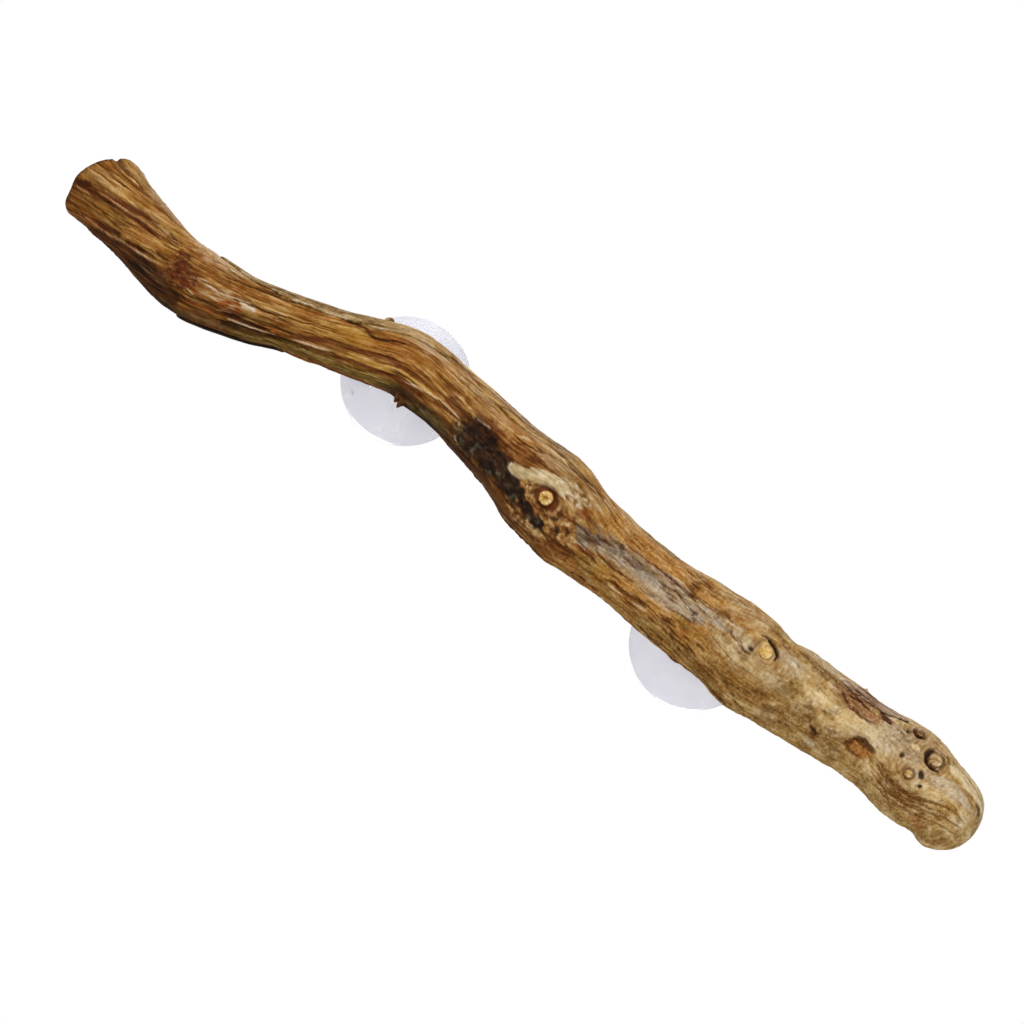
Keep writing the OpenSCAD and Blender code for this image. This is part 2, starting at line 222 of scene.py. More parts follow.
# Rings start at the pith of the sawn end, lie closer together there and round the knots, and close to a point
# at the foot. One of them lies on the saw cut's edge. Columns lie closer together at the front.
limb, share, turn = flat_grid("limb_skin", rows=520, columns=190)
angle = turn - 17 * sind(turn)
sawn_end = 13
tip_end = limb_length + end_round * (1 / round_share - 1)
steps = np.linspace(-sawn_end, tip_end, 4000)
crowd = 1 + sum(1.3 * np.exp(-((steps - at) / 8) ** 2) for at, way in large_knots)
crowd = crowd + 3 * np.exp(-((steps - tip_end) / 4) ** 2) + 1.6 * (steps < 0)
crowd = (np.cumsum(crowd) - crowd[0]) / (crowd.sum() - crowd[0])
path = np.interp(share, crowd, steps)
path[np.abs(path) < np.abs(path).min() + 1e-3] = 0
place = np.maximum(path, 0)
inset = np.clip(1 + path / sawn_end, 0, 1)
girth = spine(place)[1]
sawn = path < 0


def across_from(way):
    """Distance across the wood from an angle on it, in mm."""
    return np.radians(turn_between(angle, way)) * girth


grain_r = limb_width / 2
skin_rows = np.column_stack([grain_r * inset * cosd(angle), grain_r * inset * sind(angle), place]).tolist()


def streaks(spots, wide, long, seed):
    """Noise from -1 to 1 whose marks are about wide mm across the grain and long mm along it."""
    return np.array([noise.noise((x / wide + 7.7 * seed, y / wide, z / long)) for x, y, z in spots])


def fleck(size, seed):
    """Noise from -1 to 1 whose marks take no notice of the grain."""
    return streaks(skin_rows, size, size, seed)


# The grain runs along the limb, crosses it near the saw cut, parts round each knot like water round a post
# and sweeps up round the foot. Its fibres waver a little, and its figure is shorter past the upper knot.
from_bend = 42 - place
grain_angle = angle + 0.9 * (from_bend + np.sqrt(from_bend ** 2 + 60))
for at, way in large_knots + small_knots:
    post = large_hole if (at, way) in large_knots else small_hole
    across = across_from(way)
    reach = np.maximum(((place - at) / 1.4) ** 2 + across ** 2, post ** 2)
    grain_angle -= np.degrees(across / girth) * post ** 2 / reach
sweep = np.interp(place, [330, 335, 340, 345, 350, 355, 360, 368, 374], [0, -7, -12, -11, -5, 7, 19, 30, 34])
grain_angle -= sweep * np.exp(-((angle + 20) / 45) ** 2)
grain_angle += 1.6 * fleck(4.5, 17) + 1.0 * fleck(1.6, 18)
fibre_r = grain_r * foot_rounding(place) * inset
figure = place + 0.7 * np.maximum(place - 205, 0)
grain = np.column_stack([fibre_r * cosd(grain_angle), fibre_r * sind(grain_angle), figure])
grain_rows = grain.tolist()


def fibre(wide, long, seed):
    return streaks(grain_rows, wide, long, seed)


ragged = 0.6 * fleck(3.2, 11) + 0.5 * fleck(1.2, 12)
drawn_out = 0.7 * fibre(1.5, 20, 15) + 0.5 * fibre(0.7, 9, 16)
fingers = fibre(4, 40, 20)
wander = fibre(5, 12, 13) + 0.5 * fibre(1.5, 4, 14) + 0.5 * fleck(1.3, 19)


def patch(at, way, long, wide, lean=0, edge=0.15, tatter=0.55, drawn=0):
    """Mask of an oval on the wood, of this half length and width in mm, leaning to the upper side.
    Its edge is tattered, or drawn out along the grain."""
    ahead = place - at
    across = across_from(way)
    c, s = cosd(lean), sind(lean)
    far = np.hypot((ahead * c + across * s) / long, (across * c - ahead * s) / wide)
    return 1 - ease(far + tatter * ragged + drawn * drawn_out, 1 - edge, 1 + edge)


def line(wide, *stops, drift=0.35):
    """Mask of a line through places and angles on the wood, wide mm to each side and tapering to its ends."""
    mask = np.zeros_like(place)
    for k, ((at, way), (at_next, way_next)) in enumerate(zip(stops, stops[1:])):
        ahead = place - at
        across = across_from(way) + drift * wander
        run, rise = at_next - at, math.radians(way_next - way) * girth
        t = np.clip((ahead * run + across * rise) / (run ** 2 + rise ** 2), 0, 1)
        far = np.hypot(ahead - t * run, across - t * rise)
        taper = np.sqrt(np.clip(sind(180 * (k + t) / (len(stops) - 1)), 0.06, 1))
        mask = np.maximum(mask, 1 - ease(far / (wide * taper), 0.5, 1.2))
    return mask


def most(*masks):
    return np.maximum.reduce(masks)


def patches(*ovals, **how):
    return most(*[patch(*oval, **how) for oval in ovals])


def lines(*rows, **how):
    return most(*[line(*row, **how) for row in rows])


def window(value, low, full, fade, gone):
    """Mask that eases in from low to full and out again from fade to gone."""
    return ease(value, low, full) * (1 - ease(value, fade, gone))


# Cracks and dark seams that run with the grain, and the pale lines where a torn fibre catches the light.
# Some of the crack lines are painted shadow along the limb's upper and lower edges, cut in as grooves too.
cracks_and_edge_shadows = most(line(0.55, (310.5, 37), (312.5, 29), (315, 23.5), drift=0.6), lines(
    (1.0, (0, -28), (6, -11), (10, -3), (14, 7), (19.5, 16), (23.5, 23), (28, 27), (36, 40)),
    (0.7, (1, -33), (7, -17), (14.5, -4), (19.5, 3), (26.5, 12), (32, 22)),
    (0.5, (0, 51), (11.5, 50), (20, 58)), (0.5, (0, 14), (5, 21), (11.5, 28)),
    (0.5, (23.5, -30), (34, -10)), (0.5, (32, -3), (38.5, 1)), (0.6, (0, 34), (5, 37)),
    (0.7, (56, 37), (62, 42), (66.5, 45), (73.5, 51), (78.5, 48), (83, 56), (90, 60), (98, 50)),
    (0.7, (98, 50), (106, 43), (109, 41), (111, 28), (113, 23), (119, 27), (124, 27)),
    (1.0, (60, -26), (67, -27), (78, -27)), (1.0, (60, -43), (68, -40), (79, -39), (88, -38)),
    (0.5, (160, 46), (168, 46)), (0.5, (160, 50), (166, 60)),
    (0.6, (313, 37), (318, 37), (322.5, 35)), (0.5, (324, 56), (330.5, 54), (336, 60)),
    (0.5, (308, -30), (310, -34), (311.5, -38)), (0.6, (282, -60), (287, -66)),
    # Painted shadow along the lower edge by the lower cup, also cut in as grooves
    (1.2, (270, -74), (279, -79), (286, -86)), (1.3, (242, -72), (250, -79), (258, -88)),
    # Painted shadow along the upper edge, at two places before and above the upper knot
    (0.9, (131, 60), (136, 64), (141, 70), (149, 76)), (0.9, (181, 74), (188, 74), (195, 70)),
    # Painted shadow along the underside below the upper knot, also cut in as a wide groove
    (2.4, (136, -84), (155, -85), (170, -86), (185, -87), (204, -80))))
seams = most(line(0.7, (315, 23), (317.5, 20), (321.5, 18), (326.5, 25), drift=0.8), lines(
    (1.1, (82, -20), (90, -20), (98.5, -9), (108, -11), (119, -7), (127.5, -14), (136.5, -12), (143.5, -8)),
    (0.8, (88, -36), (100, -37), (107.5, -31), (115.5, -34), (127, -34), (137, -33), (154, -19)),
    (0.7, (10, -55), (15.5, -43)), (0.6, (15.5, -21), (20.5, -12)), (0.4, (11, -30), (20, -22)),
    (0.5, (186, -16), (188.5, -9), (190.5, -1), (193.5, 4), (198, 4)),
    (0.4, (222, 22), (235, 23), (250, 21), (262, 22)), (0.6, (215, -15), (224, -17), (233, -14)),
    (0.7, (226, -33), (232, -35), (240, -33)), (0.7, (234, -45), (240, -46)), (0.7, (243, -42), (248, -44)),
    (0.7, (246, -28), (251, -29)), (0.6, (255, -44), (261, -44)), (0.4, (208, -22), (218, -26)),
    (0.4, (274, 10), (275.5, 4), (277, 2), (279, 3)), (0.4, (212, 2), (220.5, 8)),
    (0.6, (205, -30), (208.5, -38), (210, -48), (209, -58)),
    (0.35, (269.4, 13), (270, 8.5), (272.5, 6), (274.8, 9))))
pale_lines = lines(
    (0.4, (5.5, -65), (13, -55), (21.5, -38), (28.5, -26), (36, -13), (39, -11)),
    (0.4, (1, -34), (6, -24)), (0.4, (10, -7), (19.5, 10), (26.5, 18)),
    (0.3, (49, -14), (52, -18)), (0.3, (53, 6), (57, 3)),
    (0.4, (55.5, 2), (60, 3), (64, 6)), (0.3, (50, 8), (54, 10)),
    (0.3, (57, -7), (61, -5)), (0.6, (65, 3), (70, -2)),
    (0.55, (63, -33), (70, -34), (79.5, -33)), (0.5, (86, -30), (93, -29), (100, -27)),
    (0.4, (127.5, -33), (136, -25), (144, -16)),
    (0.5, (143.5, -17), (150, -17), (154.5, -18)),
    (0.4, (154.5, -18), (155.5, -27), (156.5, -36), (157.5, -45), (159, -52)),
    (0.35, (156, 1), (160, 5), (164, 8)), (0.5, (172, 27), (178, 34)),
    (0.5, (226, -40), (233, -41)), (0.4, (236, -39), (242, -38)),
    (0.4, (205, -20), (212, -22)), (0.6, (326, 48), (329, 45), (332, 43)))
growth = lines(
    (0.7, (333, -20), (338, -29), (345, -30), (350, -25), (355, -12), (360, 0), (368, 10)),
    (0.7, (335, -38), (343, -45), (350, -40), (356, -28), (362, -12), (369, 0)),
    (0.5, (336, -27), (342, -36), (350, -33), (356, -20), (363, -4)),
    (0.5, (338, -50), (346, -54), (354, -44), (362, -26), (370, -12)),
    *[(0.3, (333 + k, -17 - 5 * k), (340 + k, -26 - 5 * k), (348, -24 - 5 * k), (356 + k, -10 - 4 * k))
      for k in range(6)])

# What else the wood has been through: scars, healed lips, weathered streaks and hollows, and where bark sits
scar = most(patch(163, -22, 8, 6.2, edge=0.3), patch(172, -25, 9, 5.6, edge=0.25), patch(181, -30, 8, 3.8),
            patch(193.5, -34, 5.5, 2.0, -11, tatter=0.7))
scar_margin = most(patch(149, -4, 5.5, 2.2, 12, tatter=0.3), patch(150, -11, 5, 2.2, 6),
                   patch(165, -2, 13, 5.0, drawn=0.5), patch(177, 0, 10, 5.4, drawn=0.5))
lip = most(patch(182.5, -8.5, 4.3, 1.9, 14, tatter=0.3), patch(188.3, 4, 5, 2.2, 30, tatter=0.25),
           patch(193, 12, 4, 2.4, 20, tatter=0.3))
curls = patch(197.5, 18, 6.2, 3.4, 14, tatter=0.5)
tangle = most(patch(189.5, -16, 3.6, 2.6, edge=0.3), patch(193, -44, 9, 4.6, edge=0.4),
              patch(200, -20, 5.5, 6, edge=0.4))
dark_side = window(-angle, 27, 49, 100, 140)
dark_side = dark_side * np.interp(place + 16 * fingers, [116, 131, 150, 166, 178, 204, 214],
                                  [0, 1, 1, 0.75, 0.35, 0.25, 0])
bend_side = most(patch(28, -60, 18, 8.5, 14, drawn=0.4), 0.85 * patch(40.5, -44, 7.5, 5, drawn=0.4))
oval = patch(325.5, -21, 5.2, 3.5, 10, tatter=0.35)
oval_lid = patch(326.8, -10, 4.2, 1.5, -6, tatter=0.35)
torn_hole = patch(326.8, 43, 4.0, 1.5, -32, tatter=0.7)
pads = patches((271.6, 15.5, 2.2, 2.0), (276.2, 9, 2.8, 2.6), tatter=0.2)
pad_edge = pads * (1 - patches((271.6, 15.5, 1.6, 1.4), (276.4, 9.5, 2.2, 2.0), tatter=0.2))
burl = patches((43.5, -2, 4.6, 4.4), (40.5, 18, 3.0, 3.4), (48, -7, 3, 2.6), tatter=0.7)
grey = patches((214, -3, 8, 2.8, 6), (226, 3, 13, 4.0, 3), (241, 4.5, 16, 4.2, 1), (257, 8, 12, 3.0, 6),
               edge=0.5, tatter=0.2, drawn=0.7)
barked = patches((93, 72, 46, 7.5, -4), (65, -97, 20, 3.6), (322, 55, 14, 4.2, 3), tatter=0)
calm = ease(place + 24 * fingers + 6 * drawn_out, 255, 300)
bare = 1 - most(scar, lip, pads)
stub = most(0.8 * patch(129.3, -67, 1.2, 2.6, tatter=0.2, edge=0.4),
            patch(132, -72, 1.3, 3.0, tatter=0.2, edge=0.4))
edge_bumps = most(patch(261.5, 85, 11, 6, tatter=0.1, edge=0.6),
                  1.5 * patch(114.5, 84, 1.6, 2.6, tatter=0.2, edge=0.4),
                  0.35 * patch(259, -90, 1.8, 3, tatter=0.2, edge=0.4),
                  0.6 * patch(318, 82, 0.6, 1, tatter=0.1, edge=0.4),
                  0.5 * patch(7.5, -82, 6, 7, tatter=0.1, edge=0.8))
crescent_gaps_and_shade = lines((0.7, (277.8, 28), (280.3, 30), (283.5, 26.5), (285.6, 20), (285.6, 13)),
                  (1.2, (344.9, 44), (344.2, 39), (344.2, 31.5), (345.4, 25), (347.9, 21.5), (350.7, 23.5)),
                  drift=0.1)

# Relief in mm
tone = 0.30 * fibre(3.5, 36, 21) + 0.40 * fibre(1.7, 17, 22) + 0.32 * fibre(0.95, 9, 23)
blotch = 0.5 * fleck(6.5, 26) + 0.45 * fleck(3.0, 27) + 0.25 * fleck(1.5, 28)
tone = tone * (1 - 0.55 * calm) + blotch * (0.35 + 0.36 * calm)
split_line = np.abs(fibre(5, 60, 31) + 0.3 * fibre(1.5, 12, 32))
splits = (1 - ease(split_line, 0.015, 0.08)) * ease(fibre(9, 34, 33), -0.1, 0.2) * (1 - 0.8 * calm)
checks = ease(fibre(0.9, 10, 34) + 0.4 * fibre(5, 14, 36), 0.27, 0.47) * (1 - 0.75 * calm)
specks = ease(fleck(1.4, 37) + 0.5 * fleck(6, 38), 0.36, 0.54) * (0.25 + 0.4 * calm)
relief = 0.22 * fibre(10, 22, 24) + 0.5 * tone + 0.2 * fibre(0.8, 7, 25) + 0.12 * fleck(1.2, 29)
relief -= 0.5 * splits + 0.3 * checks + 0.2 * specks
relief += 0.3 * pale_lines - 0.75 * cracks_and_edge_shadows - 0.4 * seams - 0.25 * growth
relief = (relief * (1 - 0.75 * lip) - 0.3 * scar - 0.6 * oval - 0.4 * oval_lid - 0.9 * torn_hole
          + 0.25 * pads - 0.25 * pad_edge + 0.2 * lip)
relief += (scar * 0.3 * fleck(2.0, 41) + burl * 0.4 * fleck(1.8, 42)
           + most(tangle, curls) * 0.45 * fleck(1.6, 43))
pits = patches((347.2, 5, 1.5, 0.9, -35), (278, 8, 0.8, 0.65), (338.5, 8, 0.9, 0.8),
               (349.5, -6, 0.7, 0.6), (335.5, 42, 0.8, 0.7), (350.5, 50, 1.7, 0.8, -45), tatter=0.1)
nubs = patches((340, 28, 1.4, 1.1), (347.5, -15, 1.3, 0.9, 30), (350.8, -1, 1.2, 1.0), tatter=0.2)
relief += 0.3 * nubs - 0.9 * pits + 2.2 * stub


# Colours are given as they show on a screen, from 0 to 255
def paint(red, green, blue):
    c = np.array([red, green, blue]) / 255
    return np.where(c <= 0.04045, c / 12.92, ((c + 0.055) / 1.055) ** 2.4)


def stain(under, colour, mask):
    return under + (colour - under) * np.clip(mask, 0, 1)[:, None]


def ramp(share, *colours):
    """Colours laid out evenly from share 0 to share 1."""
    steps = np.linspace(0, 1, len(colours))
    return np.column_stack([np.interp(share, steps, [c[k] for c in colours]) for k in range(3)])


char, umber, straw = paint(22, 13, 7), paint(64, 31, 11), paint(206, 168, 104)
left = 1 - ease(place, 190, 215)
shade = np.interp(place, [0, 34, 46, 60, 100, 150, 200, 260], [.61, .57, .40, .49, .55, .61, .60, .63])
# The upper side is painted lighter and the lower side darker, most on the left part: partly painted light
# from above, partly the wood's own colour
shade += 0.05 * window(angle, 40, 85, 100, 150)
shade -= 0.06 * window(-angle, 45, 70, 100, 140)
shade -= 0.20 * left * window(-angle, 8, 45, 95, 140)
shade -= 0.28 * dark_side
shade -= 0.05 * window(angle, 8, 25, 45, 60) * ease(place, 75, 90)
lit_side = 0.69 + 0.12 * np.exp(-((angle - 3) / 17) ** 2) - 0.03 * np.exp(-((angle + 33) / 16) ** 2)
lit_side -= np.interp(place, [300, 325], [0.16, 0.03]) * window(-angle, 45, 70, 100, 140)
lit_side -= 0.05 * np.exp(-((angle - 32) / 14) ** 2) + 0.05 * window(angle, 45, 70, 100, 150)
shade = shade * (1 - calm) + calm * lit_side
shade = np.clip(shade + 0.55 * tone, 0, 1)
heartwood = ramp(shade, paint(28, 14, 5), paint(74, 40, 14), paint(118, 73, 26), paint(150, 106, 48),
                 paint(180, 140, 82), paint(216, 188, 144))
sapwood = ramp(shade, paint(46, 28, 12), paint(98, 64, 26), paint(138, 100, 46), paint(164, 129, 74),
               paint(190, 160, 109), paint(220, 202, 164))
tint = stain(heartwood, sapwood, calm)
upper_side = window(angle, 50, 75, 105, 140)
golden = 1 - 0.6 * ease(place, 198, 222) - 0.15 * calm
by_bend = ease(place, 38, 48)
# Each row is a colour, its strength and where it lies
stains = [
    # Broad drifts of colour in the wood, and a pale grey along the upper side, partly painted light from
    # above
    ((136, 70, 22), 0.45, ease(fibre(2.2, 18, 53), 0.1, 0.35) * golden),
    ((112, 90, 38), 0.5, ease(fibre(5, 18, 54), 0.05, 0.4) * ease(-sind(angle), -0.4, 0.7)
     * (1 - 0.6 * calm)),
    ((112, 76, 32), 0.5, calm * ease(fleck(7, 55) - 0.15 * sind(angle), 0.15, 0.4)),
    # Painted highlight along the upper side, partly the wood's own paler grey
    ((178, 154, 121), 0.6, upper_side * ease(fibre(3, 20, 69), -0.2, 0.2)),
    ((178, 150, 112), 0.4, window(angle, 10, 45, 100, 140) * ease(place, 120, 140)
     * ease(fibre(2.5, 9, 74), -0.35, 0.2)),
    ((136, 108, 62), 0.45, window(-angle, 20, 45, 100, 140) * ease(place, 205, 225)
     * ease(fibre(2.5, 7, 80), -0.2, 0.3)),
    # The sawn end and the bend
    ((100, 48, 16), 0.6, most(patch(17, 14, 9, 1.5, 32, drawn=0.5), patch(4, -18, 5, 1.6, 42))),
    ((34, 15, 8), 0.9, patch(2.5, -21, 3, 1.1, 42)),
    ((178, 138, 80), 0.5, patch(25, 36, 7, 3, drawn=0.6)),
    ((62, 30, 14), 0.7, patch(41, -22, 4, 2.4, tatter=0.7)),
    ((124, 96, 58), 0.5, patch(57, -56, 6, 2.4, drawn=0.5)),
    # Painted shade: near-black on the lower side of the bend, broken up along the grain
    ((58, 29, 12), 0.9, bend_side * ease(fibre(1.6, 12, 63), -0.7, -0.1)),
    ((22, 13, 7), 0.85, bend_side * ease(fibre(1.6, 9, 64), 0.0, 0.25)),
    ((122, 98, 56), 0.6, line(0.9, (32, -40), (38, -36), (43, -30))),
    ((84, 44, 19), 0.5, patch(43, 3, 6, 5.6, tatter=0.7, edge=0.4)),
    ((92, 44, 20), 0.8, burl * ease(fleck(2.6, 61), -0.5, 0.1)),
    ((58, 22, 12), 0.7, burl * ease(fleck(1.5, 75), 0.05, 0.35)),
    ((134, 68, 28), 0.65, patches((64, -12, 3.2, 1.8), (60, -14, 2.5, 1.3), (79, -24, 3, 1.0), tatter=1)),
    # Painted highlight: whitish sheen on the crests at the front past the bend
    ((196, 172, 134), 0.45, patch(60, -1, 9, 4.0, tatter=0.9) * ease(fibre(0.8, 3.5, 79), 0.14, 0.36)),
    # The top of the bend painted paler, partly as painted light from above, partly the wood's pale colour
    ((194, 158, 114), 0.6, patch(50, 68, 11, 5, drawn=0.5, edge=0.4)),
    # Painted highlight: a whitish glint on a crest at the front
    ((208, 190, 160), 0.7, patch(68.5, 0, 2.4, 1.3, tatter=1.1)),
    ((20, 13, 8), 0.8, patch(64.5, -47, 3.4, 1.6)),
    # The golden and dark bands between the cups' ends
    ((112, 90, 40), 0.65, patches((118, -54, 36, 3.0, -2), (82, -54, 14, 3), drawn=0.4)),
    ((160, 118, 46), 0.5, patch(104, 12, 12, 4.2, drawn=0.6, edge=0.4)),
    ((140, 84, 32), 0.7, patch(122, 4, 10, 5.0, drawn=0.6, edge=0.4)),
    ((184, 140, 68), 0.7, line(1.5, (96, -26), (108, -23), (116, -26), (126, -22), (135, -22), (144, -14))),
    ((104, 56, 22), 0.6, patches((96, -20, 9, 1.6), (117, -11, 7, 1.5), drawn=0.5)),
    ((198, 168, 128), 0.55, patch(129, 49, 8, 3.2, drawn=0.5)),
    ((50, 29, 15), 0.85, dark_side * ease(fibre(1.6, 12, 56), -0.65, 0.05)),
    ((22, 13, 7), 0.8, dark_side * ease(fibre(1.6, 10, 58), -0.1, 0.22)
     * ease(place + 16 * fingers, 118, 136) * (1 - 0.5 * ease(place, 160, 178))),
    ((100, 82, 44), 0.4, patch(148, -52, 9, 2.2, drawn=0.7)),
    # Round the upper knot
    ((86, 40, 14), 0.85, scar_margin * ease(fibre(1.4, 10, 65), -0.6, 0.0)),
    ((120, 72, 28), 0.6, patch(182, 14, 9, 3, 14, drawn=0.6)),
    ((112, 90, 60), 0.6, patches((178, 67, 14, 4), (233, 66, 9, 3), drawn=0.6)),
    ((178, 150, 108), 0.5, patches((189, 32, 6, 3), (205, 34, 6, 3), (184, 45, 7, 2.6), drawn=0.4)),
    ((124, 82, 40), 0.7, tangle),
    ((76, 38, 16), 0.8, tangle * ease(fleck(2.4, 70), 0.0, 0.3)),
    ((178, 138, 82), 0.85, tangle * ease(fleck(1.6, 67), 0.14, 0.32)),
    ((30, 16, 9), 0.8, tangle * ease(fleck(1.8, 68), 0.24, 0.4)),
    ((112, 66, 26), 0.85, patch(204, -48, 5.5, 3.8, 8, tatter=0.3)),
    ((172, 136, 84), 0.85, patch(197.5, -45, 3.4, 1.3, 8, tatter=0.4)),
    ((118, 62, 25), 0.8, patches((203, 9, 2.6, 1.7), (201, -6, 1.6, 1.4), (213, -22, 4, 1.2))),
    ((172, 146, 106), 0.7, curls), ((112, 72, 38), 0.75, curls * ease(fleck(1.2, 62), 0.04, 0.22)),
    ((204, 184, 146), 0.6, curls * ease(fleck(1.5, 77), 0.1, 0.3)),
    # The weathered grey streak and the golden wood on each side of it
    ((176, 124, 60), 0.5, most(patch(232, 35, 30, 5, 1, drawn=0.6), patch(260, -4, 4.5, 2.2),
                              patch(230, -27, 10, 2.2, drawn=0.6), patch(240, -34, 20, 3, drawn=0.8))),
    ((84, 58, 40), 0.75, patch(209, -5, 4.5, 3.2, 10, drawn=0.5)),
    ((152, 138, 116), 1, grey * (0.45 + 0.4 * ease(fibre(1.6, 14, 59), -0.25, 0.25))),
    ((112, 94, 76), 0.6, patch(226, 8, 20, 2.6, 3, 0.5, 0.2, 0.7)),
    ((92, 76, 60), 0.65, grey * ease(fibre(1.0, 6, 60) + 0.22 - 0.34 * ease(place, 212, 250), 0.1, 0.32)),
    ((182, 158, 126), 0.5, patch(238, -6, 18, 1.5, 1, 0.5, 0.2, 0.7)),
    ((182, 170, 156), 0.5, grey * ease(fibre(1.0, 8, 52), 0.1, 0.35) * ease(place, 225, 250)),
    # The paler lower part
    ((122, 84, 34), 0.6, patches((280, -31, 10, 3.2), (300, -34, 6, 3.4), edge=0.4)),
    ((104, 68, 28), 0.7, patches(
        (287.5, -26, 2.6, 1.5, 0), (292.5, -41, 2.6, 2.2, 20), (304, -9, 3.2, 1.6, -20),
        (306.5, -24, 4, 1.9, -20), (312, 3, 3.0, 1.5, 30), (297, 42, 7, 1.9, 0), (307, 44, 5, 2.1, 0),
        (316, -24, 4, 2.2, 0), (300, -50, 5, 2.2, 0), (310, -44, 3.5, 1.8, 0),
        (318, -38, 5, 2.0, -10), edge=0.5, tatter=1.1)),
    ((104, 70, 26), 0.6, patch(266, -58, 8, 3, drawn=0.5)),
    ((136, 104, 62), 0.5, patches((265, 54, 8, 3.4), (277, 45, 6, 2.6), drawn=0.5)),
    ((192, 160, 110), 0.5, patch(320, -11, 4.5, 2.4, edge=0.4)),
    ((88, 56, 26), 0.75, patch(310, -34, 3.4, 1.1, -35, tatter=0.9)),
    ((182, 158, 116), 0.5, patch(278, -5, 12, 3.6, edge=0.5)),
    ((202, 180, 140), 0.6, patch(325, 5, 10, 4.4, edge=0.5)),
    ((214, 194, 152), 0.65, patch(364, 68, 9, 5, edge=0.5, drawn=0.7)),
    ((142, 104, 58), 0.65, patch(364, 66, 11, 6, drawn=0.5) * ease(fibre(1.1, 14, 45), 0.05, 0.3)),
    ((138, 96, 62), 0.65, patch(317, 31, 9, 3.4, 2, drawn=0.5)),
    ((84, 38, 21), 0.7, patch(318, 33, 11, 4, 2, drawn=0.5) * ease(fibre(0.95, 7, 50), 0.05, 0.3)),
    ((204, 174, 120), 0.5, patches((306, 8, 6, 2.4), (318, 6, 6, 3), edge=0.4)),
    ((186, 168, 138), 0.55, most(patch(291, 22, 6, 3, edge=0.5), patch(303, 60, 12, 2.6, edge=0.4),
                                patch(311.5, -54, 2.6, 1.7), patch(330, 26, 7, 3, edge=0.5))),
    ((168, 148, 120), 0.55, patch(336, 20, 9, 5.5, 6, edge=0.5)),
    ((138, 110, 76), 0.55, patches((341, 17, 4.5, 2.6), (349, 8, 4, 2.2), (336.5, 27, 4, 2.2), edge=0.4)),
    ((194, 178, 152), 0.6, line(2.8, (350, 12), (357, 20), (366, 28))),
    ((150, 96, 48), 0.6, most(patch(324.5, 28, 3.6, 2.2), patch(358, -49, 3.6, 2.2, edge=0.4))),
    ((122, 78, 32), 0.65, lines((1.4, (334, -18), (338, -22), (343, -25), (350.5, -27), (358, -16)),
                                (1.2, (337, -44), (346.5, -40), (353, -38)))),
    ((222, 202, 160), 0.75, patches((355.5, 45, 3.4, 1.8, 10), (360, 45, 3, 1.6, 25),
                                    (365, 53, 4, 1.5, 30), tatter=0.9)),
    ((84, 58, 34), 0.85, patch(367.5, 47, 2.4, 1.3)),
    ((156, 102, 46), 0.95, oval),
    ((82, 46, 19), 0.9, oval * (1 - patch(326.8, -20.5, 4.3, 2.6, 10, tatter=0.5))),
    ((82, 46, 20), 0.9, oval_lid),
    ((64, 25, 17), 0.92, torn_hole),
    ((184, 166, 134), 0.7, pads), ((104, 72, 42), 0.5, pad_edge),
    ((208, 180, 130), 0.8, nubs),
    # Splits, checks and specks, then the cracks with the painted shadow lines along the edges, seams and
    # other lines
    ((84, 46, 18), 0.55, checks * bare),
    ((66, 34, 13), 0.8, splits * bare),
    ((70, 38, 16), 0.5, specks * bare),
    ((192, 140, 92), 0.6, pale_lines * (1 - by_bend)), ((204, 176, 138), 0.7, pale_lines * by_bend),
    ((90, 44, 17), 0.8, seams), ((100, 61, 26), 0.8, growth),
    # The crack colours also paint the shadow lines along the limb's upper and lower edges
    ((84, 40, 16), 0.85, cracks_and_edge_shadows * (1 - by_bend)), ((54, 26, 12), 0.88, cracks_and_edge_shadows * by_bend),
    # The black scar, mossy towards its lower side
    ((44, 26, 16), 0.95, scar), ((24, 15, 11), 0.85, scar * ease(fleck(3.6, 66), -0.25, 0.25)),
    ((82, 78, 60), 0.6, scar * ease(fleck(1.6, 57) + 0.5 * fleck(4, 78), 0.1, 0.5)
     * ease(-angle, 10, 34)),
    # The bone-coloured lip that has grown over the scar's upper end
    ((190, 170, 132), 0.92, lip), ((152, 128, 86), 0.6, lip * ease(fleck(2.2, 76), 0.0, 0.35)),
    # The rim of the saw cut, the twig stub and the nicks on the edges
    ((66, 36, 16), 0.75, 1 - ease(place, 0.2, 1.2)),
    ((92, 46, 20), 0.9, stub),
    ((70, 40, 18), 0.85, patches((115.5, 82, 1.8, 2), (259, -88, 2, 3)))]
for (red, green, blue), strength, mask in stains:
    tint = stain(tint, paint(red, green, blue), strength * mask)

# The knots' holes, half filled with dust and resin, with a dark gap where the wood has shrunk away
for (at, way), (edge, deep, filling, worn) in zip(large_knots + small_knots, (
        (3.15, 0.8, paint(104, 46, 21), 0.7),
        (large_hole, 0.3, paint(184, 152, 102), 0.35),
        (2.9, 0.25, paint(184, 150, 100), 0.8),
        (1.8, 0.3, paint(172, 138, 88), 0.8),
        (2.1, 1.3, paint(58, 34, 18), 0.6))):
    far = np.hypot(place - at, across_from(way))
    hole = 1 - ease(far + 0.3 * ragged, edge - 0.4, edge + 0.3)
    rim = np.exp(-((far + 0.5 * ragged - edge - 0.9) / 0.8) ** 2)
    relief = relief * (1 - 0.8 * hole) + 0.3 * rim - deep * hole
    tint = stain(tint, paint(112, 70, 34), 0.4 * worn * rim * ease(ragged, -0.35, 0.2))
    tint = stain(tint, filling, 0.9 * hole)
    tint = stain(tint, filling * 2, 0.3 * hole * ease(-ragged, 0.05, 0.3))
    grime = 0.55 * ease(ragged, 0.05, 0.35) + 0.3 * ease(np.sin(7 * far), 0.2, 0.9)
    tint = stain(tint, filling / 4, hole * grime)
    tint = stain(tint, paint(70, 36, 17), worn * np.exp(-((far + 0.4 * ragged - edge) / 0.45) ** 2))
